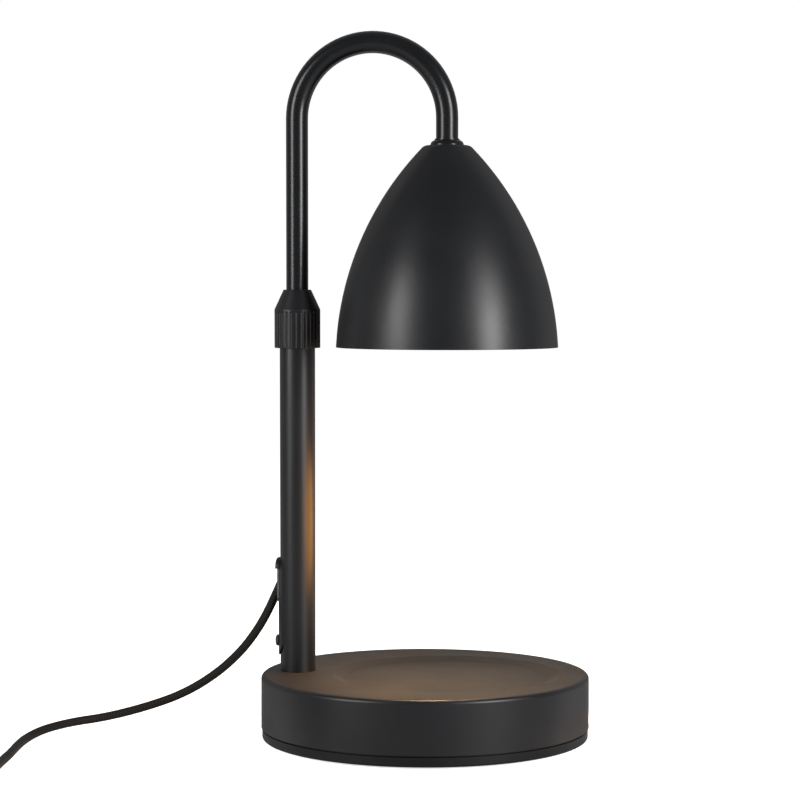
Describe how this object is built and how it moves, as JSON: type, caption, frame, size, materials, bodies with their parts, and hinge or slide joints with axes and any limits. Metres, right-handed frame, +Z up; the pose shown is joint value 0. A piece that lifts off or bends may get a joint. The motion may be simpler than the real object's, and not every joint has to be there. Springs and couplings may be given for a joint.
{
  "type": "candle warmer lamp",
  "caption": "Table lamp that melts a candle from above: weighted round base, post, height-adjustable swinging gooseneck arm, bell shade with reflector bulb, corded dimmer.",
  "frame": {"origin": "centre of the round base on the surface that the feet stand on", "axes": "+Z up; the post stands on -X and the shade hangs towards +X"},
  "size_m": [0.3387, 0.2427, 0.3232],
  "materials": {
    "black_paint": "satin black powder coat",
    "base_plate_plastic": "fine-grained black moulding",
    "foot_rubber": "matt",
    "ballast_iron": "as cast",
    "zinc_steel": "bright zinc plate",
    "black_screw": "black oxide",
    "turned_brass": "turned",
    "nylon": "natural nylon",
    "black_rubber": "matt",
    "cord_jacket": "satin black jacket",
    "lead_sleeve": "glass-fibre sleeve",
    "ceramic": "unglazed",
    "reflector_glass": "faceted, mirrored inside",
    "lens_glass": "clear",
    "capsule_quartz": "clear quartz",
    "contact_bronze": "bright",
    "dimmer_plastic": "fine-grained",
    "board": "printed board",
    "tie_strap": "smooth",
    "plug_plastic": "moulded",
    "pin_nickel": "nickel plate"
  },
  "bodies": {
    "stand": {"base_shell": "black_paint", "base_plate": "base_plate_plastic", "base_screws": "zinc_steel", "rubber_feet": "foot_rubber", "ballast_disc": "ballast_iron", "post_tube": "black_paint", "post_foot_plug": "zinc_steel", "post_anchor_bolt": "zinc_steel", "post_anchor_washer": "zinc_steel", "cord_cover": "black_paint", "cord_cover_screw": "black_screw", "cord_grommet": "black_rubber", "cord_tail": "cord_jacket", "lead_joint": "nylon", "slack_lead": "lead_sleeve", "post_top_bush": "turned_brass", "lamp_cord": "cord_jacket", "cord_coil": "cord_jacket", "cord_tie": "tie_strap", "dimmer_cord": "cord_jacket", "dimmer_lower_case": "dimmer_plastic", "dimmer_upper_case": "dimmer_plastic", "dimmer_board": "board", "dimmer_screws": "zinc_steel", "plug_cord": "cord_jacket", "plug_body": "plug_plastic", "plug_pins": "pin_nickel"},
    "clamp_ring": {"clamp_ring": "nylon"},
    "clamp_collar": {"clamp_collar": "black_paint"},
    "guide": {"guide_bush": "nylon"},
    "arm": {"arm_tube": "black_paint", "arm_snap_rings": "zinc_steel", "arm_lead": "lead_sleeve", "shade": "black_paint", "shade_cap": "black_paint", "neck_ring": "black_paint", "threaded_nipple": "zinc_steel", "lock_washer": "zinc_steel", "nipple_nut": "turned_brass", "lamp_bracket": "zinc_steel", "holder_screws": "zinc_steel", "lampholder": "ceramic", "holder_contacts": "contact_bronze"},
    "bulb": {"bulb_neck": "ceramic", "bulb_pins": "pin_nickel", "bulb_reflector": "reflector_glass", "bulb_lens": "lens_glass", "bulb_capsule": "capsule_quartz"},
    "dimmer_wheel": {"dimmer_wheel": "dimmer_plastic"}
  },
  "joints": [
    {"name": "ring_slide", "type": "slide", "parent": "stand", "child": "clamp_ring", "axis": [0, 0, 1], "range_m": [0, 0.00075]},
    {"name": "collar_turn", "type": "hinge", "parent": "clamp_ring", "child": "clamp_collar", "pos_m": [-0.059, 0, 0.19], "axis": [0, 0, 1], "range_deg": [0, 180]},
    {"name": "height_slide", "type": "slide", "parent": "stand", "child": "guide", "axis": [0, 0, 1], "range_m": [-0.035, 0.025], "deforming": ["slack_lead"]},
    {"name": "arm_swing", "type": "hinge", "parent": "guide", "child": "arm", "pos_m": [-0.059, 0, 0.15], "axis": [0, 0, 1], "range_deg": [-90, 90]},
    {"name": "bulb_twist", "type": "hinge", "parent": "arm", "child": "bulb", "pos_m": [0.01, 0, 0.24], "axis": [0, 0, 1], "range_deg": [0, 20]},
    {"name": "dimmer_turn", "type": "hinge", "parent": "stand", "child": "dimmer_wheel", "pos_m": [-0.25299, -0.09582, 0.009], "axis": [0, 0, 1], "range_deg": [-270, 0]}
  ],
  "couplings": [
    {"joint": "ring_slide", "follows": "collar_turn", "m_per_rad": 0.00023873}
  ]
}
